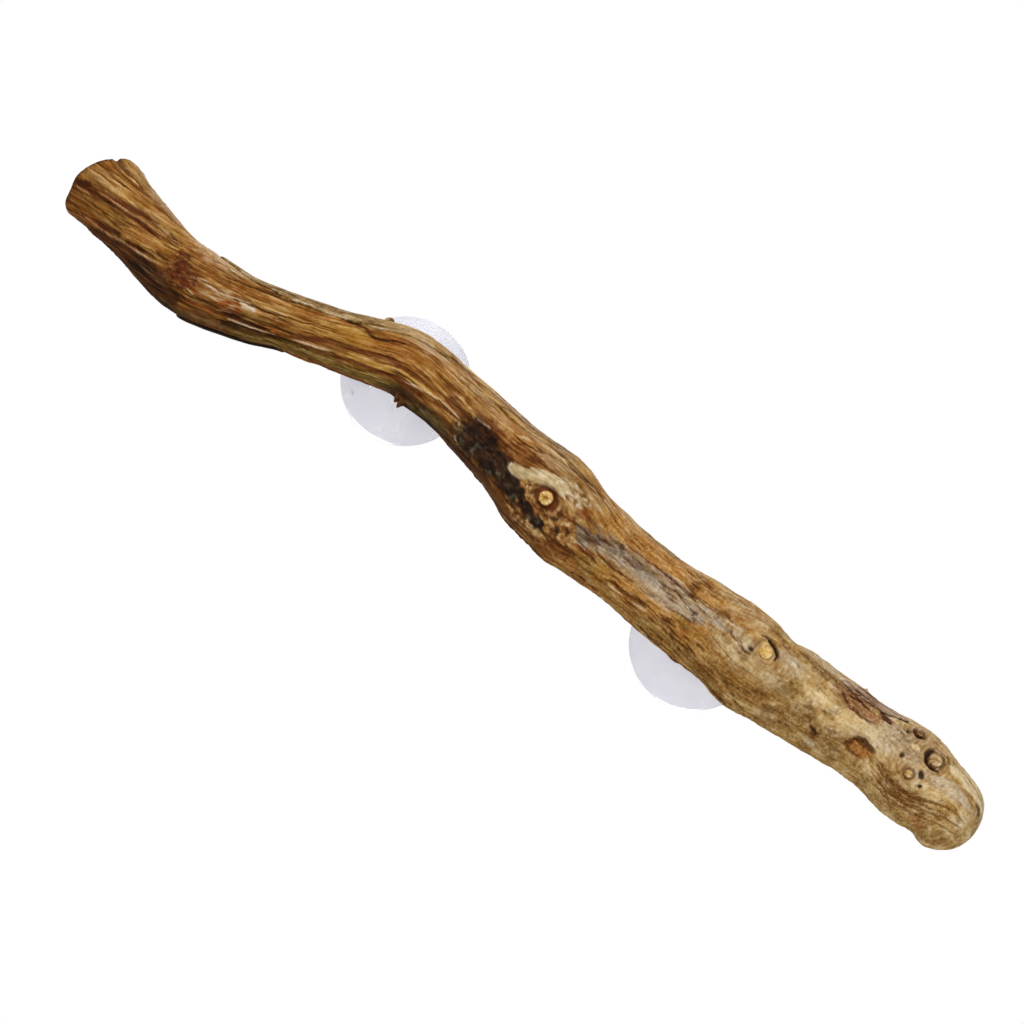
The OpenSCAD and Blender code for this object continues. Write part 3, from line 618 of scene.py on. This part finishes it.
# The crescent gaps at the middle and lower knots are cut in and painted dark as shade in the gaps; the pits
# take the same dark
relief -= 1.3 * crescent_gaps_and_shade
tint = stain(tint, paint(40, 19, 10), most(0.95 * crescent_gaps_and_shade, 0.9 * pits))
relief = np.where(barked > 0.02, np.clip(relief, -0.25, 0.1), relief) + 1.3 * edge_bumps
relief = relief * (0.4 + 0.6 * ease(place, 0, 3)) - 0.3 * (1 - ease(place, 0, 0.9))
mottled = 0.26 + 0.2 * ease(place, 198, 222) + 0.15 * calm + 0.7 * most(scar, curls, tangle, burl)

# The sawn end shows the growth rings, a few drying cracks from the pith and the grey of old end grain
ring = fibre_r + 0.5 * fibre(5, 50, 71)
years = ring / 1.5 + 0.5 * np.sin(0.6 * ring)
end_grain = ramp(0.52 + 0.28 * np.sin(2 * np.pi * years) + 0.28 * fibre(1.2, 50, 72),
                 paint(84, 56, 30), paint(140, 104, 62), paint(178, 146, 100))
waver = 0.3 * fibre(2, 50, 73)
shakes = most(*[1 - ease(np.abs(np.radians(turn_between(grain_angle, way))) * fibre_r + waver, 0.1, 0.35)
                for way in (40, 165, 290)])
end_grain = stain(end_grain, char, 0.8 * shakes * ease(fibre_r, 0.5, 2))
tint = np.where(sawn[:, None], end_grain, tint)
end_split = patch(0, 46, 6, 1.0, tatter=0.15, edge=0.4) * ease(inset, 0.5, 0.95)
relief = np.where(sawn, 0, relief) - 1.1 * end_split
tint = stain(tint, umber, 0.8 * end_split)

points = skin(place, angle, relief, inset)
low, high = (np.array(corner) / MM for corner in cad_box)
points = np.clip(points, low, high)

# The seats drilled in the back for the cups' necks, down to the flush inserts
seat_r, seat_floor, wall_reach = 6.8, -18.05, 0.55
for cup in ("upper_cup", "lower_cup"):
    x, z = cup_axis(cup)
    off = points[:, ::2] - (x, z)
    far = np.hypot(*off.T)
    behind = np.abs(angle) > 90
    inside = behind & (far < seat_r)
    wall = behind & (np.abs(far - seat_r) < wall_reach)
    reach = np.where(far < seat_r, seat_r - 0.02, seat_r)
    points[wall, ::2] = (x, z) + off[wall] / far[wall, None] * reach[wall, None]
    points[inside, 1] = seat_floor
    tint = stain(tint, straw, 0.8 * inside)

shape(limb, points, np.column_stack([tint, np.clip(mottled, 0, 1)]), grain)
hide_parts("limb")
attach(limb, "branch")


def new_finish(name):
    """A new material with its nodes, their link call and its surface."""
    finish = bpy.data.materials.new(name)
    finish.use_nodes = True
    nodes = finish.node_tree.nodes
    return finish, nodes, finish.node_tree.links.new, nodes["Principled BSDF"]


def add_node(nodes, kind, **values):
    """A new node whose inputs are set by name, From_Min for From Min."""
    node = nodes.new("ShaderNode" + kind)
    for socket, value in values.items():
        node.inputs[socket.replace("_", " ")].default_value = value
    return node


def dry_wood(name, streak, roughness, bump):
    """Bare wood or bark: the tint kept on the mesh, streaked along the grain or mottled, more finely than
    the mesh can carry. The tint's alpha says how far the streaks give way to mottling, and dark wood shows
    less of both."""
    finish, nodes, link, surface = new_finish(name)
    surface.inputs["Specular IOR Level"].default_value = 0.06
    tint_kept = add_node(nodes, "Attribute")
    tint_kept.attribute_name = "tint"
    grain_kept = add_node(nodes, "Attribute")
    grain_kept.attribute_name = "grain"
    textures = []
    for scale in ((1.2, 1.2, 0.12), (0.9, 0.9, 0.6)):
        stretch = add_node(nodes, "Mapping", Scale=scale)
        texture = add_node(nodes, "TexNoise", Scale=1, Detail=5, Roughness=0.58)
        link(grain_kept.outputs["Vector"], stretch.inputs["Vector"])
        link(stretch.outputs["Vector"], texture.inputs["Vector"])
        textures.append(texture)
    marks = add_node(nodes, "Mix")
    depth = add_node(nodes, "MapRange", From_Min=0.3, From_Max=0.7, To_Min=streak, To_Max=-streak)
    lightness = add_node(nodes, "RGBToBW")
    hold = add_node(nodes, "MapRange", From_Min=0.005, From_Max=0.09, To_Min=0.25)
    held_depth = add_node(nodes, "Math")
    held_depth.operation = "MULTIPLY_ADD"
    held_depth.inputs[2].default_value = 1
    marked = add_node(nodes, "Gamma")
    dullness = add_node(nodes, "MapRange", To_Min=roughness + 0.12, To_Max=roughness - 0.12)
    rough = add_node(nodes, "Bump", Strength=bump, Distance=0.5 * MM)
    link(tint_kept.outputs["Alpha"], marks.inputs["Factor"])
    link(textures[0].outputs["Fac"], marks.inputs["A"])
    link(textures[1].outputs["Fac"], marks.inputs["B"])
    link(marks.outputs["Result"], depth.inputs["Value"])
    link(tint_kept.outputs["Color"], marked.inputs["Color"])
    link(tint_kept.outputs["Color"], lightness.inputs["Color"])
    link(lightness.outputs["Val"], hold.inputs["Value"])
    link(depth.outputs["Result"], held_depth.inputs[0])
    link(hold.outputs["Result"], held_depth.inputs[1])
    link(held_depth.outputs["Value"], marked.inputs["Gamma"])
    link(marked.outputs["Color"], surface.inputs["Base Color"])
    link(marks.outputs["Result"], dullness.inputs["Value"])
    link(dullness.outputs["Result"], surface.inputs["Roughness"])
    link(marks.outputs["Result"], rough.inputs["Height"])
    link(rough.outputs["Normal"], surface.inputs["Normal"])
    return finish


peeled_wood = dry_wood("peeled_wood", 0.55, 0.75, 0.8)
limb.data.materials.append(peeled_wood)

# The dead knots are the cores of lost side twigs, worn to low domes. Each stands loose in its hole, pale and
# resinous at the heart, with drying cracks and a dark rim.
cores = []
for (at, way), (name, core, heart, body, worn) in zip(large_knots + small_knots, (
        ("upper_knot_core", 5, paint(150, 104, 38), paint(208, 174, 106), paint(128, 66, 28)),
        ("middle_knot_core", 5, paint(206, 168, 92), paint(200, 164, 100), paint(160, 118, 64)),
        ("lower_knot_core", 5, paint(158, 126, 84), paint(182, 152, 108), paint(112, 78, 46)),
        ("front_small_core", 2.8, paint(200, 168, 116), paint(178, 142, 90), paint(128, 90, 48)),
        ("side_small_core", 2.8, paint(92, 62, 36), paint(134, 98, 60), paint(70, 42, 22)))):
    piece, share, turn = flat_grid(name, rows=40, columns=56)
    half = core / 2
    # From the middle of the floor out, up the tapering wall and over the worn shoulder to the crown
    outline = np.array([(0, -5), (half + 0.9, -5), (half + 0.02, -0.1),
                        (half - 0.12, 0.25), (half - 0.5, 0.42), (0, 0.5)])
    r, height = (np.interp(share, [0, 0.1, 0.3, 0.42, 0.55, 1], column) for column in outline.T)
    spots = np.column_stack([r * cosd(turn), r * sind(turn), height])
    rough = streaks(spots.tolist(), 0.8, 0.8, at)
    crown = ease(height, -0.5, 0.3)
    from_cracks = [np.abs(np.radians(turn_between(turn, at * 40 + k * 160))) * r for k in range(2)]
    gaps = most(*[1 - ease(far + 0.15 * rough, 0.04, 0.16) for far in from_cracks])
    gaps = gaps * ease(r, 0.9, 1.5) * crown
    ring = 0.5 + 0.5 * np.sin(2 * np.pi * (r + 0.25 * rough) / 0.75)
    height = height + crown * (0.1 * rough - 0.3 * gaps - 0.06 * ring)
    ahead, front, upper = (v[0] for v in frame_at(np.array([at]))[2:])
    out = front * cosd(way) + upper * sind(way)
    side = np.cross(out, ahead)
    foot = skin(np.array([at]), np.array([way]), 0)[0]
    points = foot + np.outer(height, out) + np.outer(spots[:, 0], ahead) + np.outer(spots[:, 1], side)
    tint = ramp(ease(r / half, 0.15, 0.7), heart, body)
    tint = stain(tint, umber, 0.3 * ring * ease(rough, -0.2, 0.4))
    tint = stain(tint, worn, 0.9 * ease(r / half + 0.15 * rough, 0.8, 1.0))
    tint = stain(tint, umber, 0.3 * gaps)
    # The core's side is painted darker down into the hole, partly as painted shade in the gap and partly the
    # dark rim of the knot
    tint = stain(tint, worn / 3, 0.9 * (1 - ease(height, -1.6, -0.2)))
    shape(piece, points, np.column_stack([tint, np.full(len(tint), 0.8)]), spots, 50)
    piece.data.materials.append(peeled_wood)
    cores.append(piece)

upper_core, middle_core, lower_core, front_core, side_core = cores
bpy.ops.object.select_all(action="DESELECT")
side_core.select_set(True)
front_core.select_set(True)
bpy.context.view_layer.objects.active = front_core
bpy.ops.object.join()
front_core.name = front_core.data.name = "small_knot_cores"
for piece, node in ((upper_core, "upper_knot"), (middle_core, "middle_knot"), (lower_core, "lower_knot"),
                    (front_core, "small_knots")):
    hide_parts(node)
    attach(piece, "branch")

# The bark that is left is thin, torn at its edges and furrowed: a greenish grey strip along the upper edge,
# a black one under the bend and a curling reddish flake near the foot.
old_bark = dry_wood("old_bark", 0.7, 0.85, 0.9)
# Rings of the grid, places and angles at which the strip starts and ends, half its spread as an angle, how
# ragged it is, where it wears thin, and its colours
outer_share, bark_lift, bark_tuck = 0.7, 0.18, 0.6
for name, node, rings, start, end, way_in, way_out, half, rag, thin_from, light, dark, torn in (
        ("top_bark_strip", "top_bark", 200, 50, 136, 88, 56, 28, 1, 108,
         paint(166, 136, 92), paint(106, 80, 44), paint(72, 42, 20)),
        ("under_bark_strip", "under_bark", 90, 47, 84, -98, -94, 15.5, 1.8, limb_length,
         paint(46, 35, 24), paint(20, 14, 10), paint(46, 29, 16)),
        ("flake_bark_curl", "flake_bark", 90, 309, 334, 50, 60, 14, 2, limb_length,
         paint(178, 156, 130), paint(116, 82, 59), paint(58, 26, 16))):
    piece, share, turn = flat_grid(name, rows=rings, columns=72)
    loop = 0.5 - turn / 360
    over = loop < outer_share
    width = np.where(over, -1 + 2 * loop / outer_share, 1 - 2 * (loop - outer_share) / (1 - outer_share))
    at = start + (end - start) * share
    taper = np.sqrt(np.clip(sind(180 * share), 0, 1))
    tear = np.array([0.16 * noise.noise((a / 5, 3 * np.sign(w), start))
                     + 0.10 * noise.noise((a / 1.3, 5 * np.sign(w), end)) for a, w in zip(at, width)])
    way = way_in + (way_out - way_in) * share + half * (0.84 + rag * tear) * taper * width
    spots = np.column_stack([grain_r * cosd(way), grain_r * sind(way), at])
    rows = spots.tolist()
    furrow = 0.6 * streaks(rows, 1.6, 14, 81) + 0.5 * streaks(rows, 0.7, 4, 82)
    plate = streaks(rows, 3.5, 8, 83)
    edge = ease(1 - np.abs(width), 0, 0.05) * ease(taper, 0, 0.3)
    thick = (0.55 + 0.45 * (1 - width ** 2) * taper + 0.22 * furrow) * edge
    points = skin(at, way, np.where(over, thick, 0) + bark_lift - bark_tuck * ~over)
    points = np.clip(points, low, high)
    tint = ramp(np.clip(0.5 + 0.6 * furrow + 0.5 * plate, 0, 1), dark, light)
    tint = stain(tint, torn, 0.3 * ease(plate, 0.1, 0.4))
    tint = stain(tint, torn, 0.7 * ease(-furrow, 0.25, 0.5))
    worn_thin = ease(at, thin_from, thin_from + 14)
    tint = stain(tint, paint(182, 148, 100), worn_thin * (0.35 + 0.35 * ease(furrow, -0.3, 0.3)))
    tint = stain(tint, torn, (0.8 - 0.5 * worn_thin) * (1 - edge) * ease(plate, -0.45, 0.05))
    shape(piece, points, np.column_stack([tint, np.full(len(tint), 0.4)]), spots, 50)
    piece.data.materials.append(old_bark)
    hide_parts(node)
    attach(piece, "branch")

# The cups are moulded in soft clear vinyl: a domed disc with a thin lip, a hollow towards the glass, a neck
# round the stud's head and a small pip near the lip where the mould was filled.
# Each is spun from its profile of radii and heights off the glass.
cup_r, dome_rise, lip_thick = 23, 10.1, 0.9
hollow_r, hollow_rise = 21, 7
neck_r, neck_end, fillet_r = 6, 17, 2
shank_room, head_room, head_foot, head_top = 2.05, 4.05, 10.45, 12.55
pip_at, pip_r, pip_h = 20.2, 0.9, 0.9


def arc_height(x, half, rise, base):
    r = (half ** 2 + rise ** 2) / (2 * rise)
    return base + math.sqrt(r ** 2 - x ** 2) - r + rise


def turned(name, cup, profile, steps, sharp):
    """Spins a profile of radius and height off the glass, in mm, round the axis of a cup."""
    x, z = cup_axis(cup)
    spots = [Vector((x + r, -h, z)) * MM for r, h in profile]
    bpy.ops.object.select_all(action="DESELECT")
    bpy.ops.mesh.primitive_plane_add(size=MM)
    piece = bpy.context.object
    piece.name = piece.data.name = name
    bpy.ops.object.mode_set(mode="EDIT")
    bpy.ops.mesh.merge(type="CENTER")
    bpy.ops.transform.translate(value=spots[0])
    for here, there in zip(spots, spots[1:]):
        bpy.ops.mesh.extrude_region_move(TRANSFORM_OT_translate={"value": there - here})
    bpy.ops.mesh.select_all(action="SELECT")
    bpy.ops.mesh.spin(steps=steps, angle=2 * math.pi, center=(x * MM, 0, z * MM), axis=(0, 1, 0))
    close_up(sharp)
    return piece


def two_tones(nodes, low, first, high, last):
    """A colour ramp from one colour at low to another at high."""
    tones = add_node(nodes, "ValToRGB")
    for element, at, colour in zip(tones.color_ramp.elements, (low, high), (first, last)):
        element.position = at
        element.color = (*colour, 1)
    return tones


hollow = [(x, arc_height(x, hollow_r, hollow_rise, 0)) for x in np.linspace(0, hollow_r, 30)]
lip_edge = [(22.6, 0), (22.85, 0.1), (22.98, 0.35), (22.97, 0.7), (22.86, 1.0)]
foot_r = neck_r + fillet_r
dome = [(x, arc_height(x, cup_r, dome_rise, lip_thick)) for x in np.linspace(22.7, foot_r, 44)]
fillet_foot = dome[-1][1]
fillet = [(foot_r - fillet_r * sind(a), fillet_foot + fillet_r * (1 - cosd(a))) for a in range(15, 91, 15)]
neck = [(neck_r, 14.5), (neck_r, 16.6), (5.9, 16.86), (5.6, neck_end), (4, neck_end), (2.3, neck_end),
        (shank_room, 16.8), (shank_room, head_top), (head_room, head_top), (head_room, head_foot),
        (0, head_foot)]
cup_profile = hollow + lip_edge + dome + fillet + neck

vinyl, nodes, link, surface = new_finish("clear_vinyl")
surface.inputs["Transmission Weight"].default_value = 0.55
surface.inputs["IOR"].default_value = 1.5
place_of = add_node(nodes, "TexCoord")
cloud = add_node(nodes, "TexNoise", Scale=90, Detail=3)
milk = two_tones(nodes, 0.35, paint(236, 236, 246), 0.65, paint(244, 244, 250))
haze = add_node(nodes, "MapRange", To_Min=0.2, To_Max=0.32)
link(place_of.outputs["Object"], cloud.inputs["Vector"])
link(cloud.outputs["Fac"], milk.inputs["Fac"])
link(milk.outputs["Color"], surface.inputs["Base Color"])
link(cloud.outputs["Fac"], haze.inputs["Value"])
link(haze.outputs["Result"], surface.inputs["Roughness"])

for side, pip_turn in (("upper", 194), ("lower", 20)):
    piece = turned(side + "_cup_vinyl", side + "_cup", cup_profile, 240, 40)
    x, z = cup_axis(side + "_cup")
    for vertex in piece.data.vertices:
        across, off_glass, up = (c / MM for c in vertex.co)
        if off_glass > -arc_height(pip_at, hollow_r, hollow_rise, 0) - 0.8:
            continue
        far = math.hypot(across - x - pip_at * cosd(pip_turn), up - z - pip_at * sind(pip_turn))
        vertex.co.y -= pip_h * MM * (1 - ease(far, pip_r, pip_r + 0.6))
    piece.data.materials.append(vinyl)
    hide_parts(side + "_cup")
    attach(piece, side + "_sucker")

# Each cup screws on with a zinc plated stud whose head is moulded into its neck. The stud passes a plain
# washer and turns in a brass insert pressed into the limb.
pitch, thread_depth, thread_foot, thread_end = 0.7, 0.38, 13, 25.6


def metal(name, light, dark, roughness, scale):
    finish, nodes, link, surface = new_finish(name)
    surface.inputs["Metallic"].default_value = 1
    place_of = add_node(nodes, "TexCoord")
    smear = add_node(nodes, "TexNoise", Scale=scale, Detail=4)
    colour = two_tones(nodes, 0.3, dark, 0.7, light)
    dullness = add_node(nodes, "MapRange", To_Min=roughness - 0.12, To_Max=roughness + 0.15)
    rough = add_node(nodes, "Bump", Strength=0.2, Distance=0.1 * MM)
    link(place_of.outputs["Object"], smear.inputs["Vector"])
    link(smear.outputs["Fac"], colour.inputs["Fac"])
    link(colour.outputs["Color"], surface.inputs["Base Color"])
    link(smear.outputs["Fac"], dullness.inputs["Value"])
    link(dullness.outputs["Result"], surface.inputs["Roughness"])
    link(smear.outputs["Fac"], rough.inputs["Height"])
    link(rough.outputs["Normal"], surface.inputs["Normal"])
    return finish


zinc = metal("zinc_plate", paint(214, 214, 208), paint(164, 166, 166), 0.35, 700)
brass = metal("worn_brass", paint(214, 176, 96), paint(150, 112, 52), 0.38, 500)
washer_profile = [(2.2, 17.15), (2.35, 17), (5.8, 17), (6, 17.2), (6, 17.8),
                  (5.8, 18), (2.35, 18), (2.2, 17.85), (2.2, 17.15)]
for side in ("upper", "lower"):
    washer = turned(side + "_plain_washer", side + "_cup", washer_profile, 96, 30)
    washer.data.materials.append(zinc)
    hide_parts(side + "_washer")
    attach(washer, side + "_spacer")

    stud, share, turn = flat_grid(side + "_threaded_stud", rows=300, columns=40)
    outline = np.array([(0, 10.5), (3.8, 10.5), (4, 10.7), (4, 12.3), (3.8, 12.5),
                        (2, 12.5), (2, thread_end), (1.6, 26), (0, 26)])
    length = np.concatenate([[0], np.cumsum(np.hypot(*np.diff(outline, axis=0).T))])
    r, height = (np.interp(share * length[-1], length, column) for column in outline.T)
    threaded = (height > thread_foot) & (height < thread_end)
    r = r - threaded * thread_depth * np.abs((height / pitch - turn / 360) % 1 * 2 - 1)
    x, z = cup_axis(side + "_cup")
    points = np.column_stack([x + r * cosd(turn), -height, z + r * sind(turn)])
    shape(stud, points, np.ones((len(points), 4)), points, 50)
    stud.data.materials.append(zinc)
    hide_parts(side + "_stud")
    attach(stud, side + "_sucker")

    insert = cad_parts[side + "_insert"]
    insert.data.materials.clear()
    insert.data.materials.append(brass)

# The photograph is taken from the front and a little below, with soft light from above, on white.
# The floor lies under the view, and the world is white to the eye and dimmer as a light.
view_from_below, camera_distance = 5, 967
floor_size, floor_level = 0.9, -0.22
aim = np.array([-13.2, -28.0, -2.3])
camera = bpy.data.objects.new("camera", bpy.data.cameras.new("camera"))
bpy.context.scene.collection.objects.link(camera)
camera.data.lens = 100
camera.data.sensor_width = 36
back = Vector((0, -cosd(view_from_below), -sind(view_from_below)))
camera.location = Vector(aim * MM) + back * camera_distance * MM
camera.rotation_euler = (-back).to_track_quat("-Z", "Y").to_euler()
camera.data.clip_end = 20
bpy.context.scene.camera = camera
bpy.context.scene.view_settings.view_transform = "Standard"

bpy.ops.object.select_all(action="DESELECT")
bpy.ops.mesh.primitive_plane_add(size=floor_size, location=(0, 0, floor_level))
floor = bpy.context.object
floor.name = "floor"
pale, _, _, surface = new_finish("pale_floor")
surface.inputs["Base Color"].default_value = (0.86, 0.86, 0.85, 1)
surface.inputs["Roughness"].default_value = 0.9
floor.data.materials.append(pale)


def lamp(name, spot, size, power):
    light = bpy.data.lights.new(name, "AREA")
    light.size = size
    light.energy = power
    holder = bpy.data.objects.new(name, light)
    bpy.context.scene.collection.objects.link(holder)
    holder.location = spot
    holder.rotation_euler = (-Vector(spot)).to_track_quat("-Z", "Y").to_euler()


lamp("key", (0.25, -0.9, 1.1), 0.7, 13)
lamp("fill", (-0.7, -1.2, 0.2), 0.9, 6)
lamp("back", (0.4, 1.1, 1.0), 0.6, 8)

world = bpy.data.worlds.new("white_room")
bpy.context.scene.world = world
world.use_nodes = True
nodes, link = world.node_tree.nodes, world.node_tree.links.new
nodes.clear()
rays = add_node(nodes, "LightPath")
seen = add_node(nodes, "Math")
seen.operation = "MAXIMUM"
seen_through = add_node(nodes, "Math")
seen_through.operation = "MAXIMUM"
lit = add_node(nodes, "Background", Color=(1, 1, 1, 1), Strength=0.42)
white = add_node(nodes, "Background", Color=(1, 1, 1, 1))
either = add_node(nodes, "MixShader")
output = add_node(nodes, "OutputWorld")
link(rays.outputs["Is Camera Ray"], seen.inputs[0])
link(rays.outputs["Is Glossy Ray"], seen.inputs[1])
link(seen.outputs[0], seen_through.inputs[0])
link(rays.outputs["Is Transmission Ray"], seen_through.inputs[1])
link(seen_through.outputs[0], either.inputs[0])
link(lit.outputs[0], either.inputs[1])
link(white.outputs[0], either.inputs[2])
link(either.outputs[0], output.inputs[0])
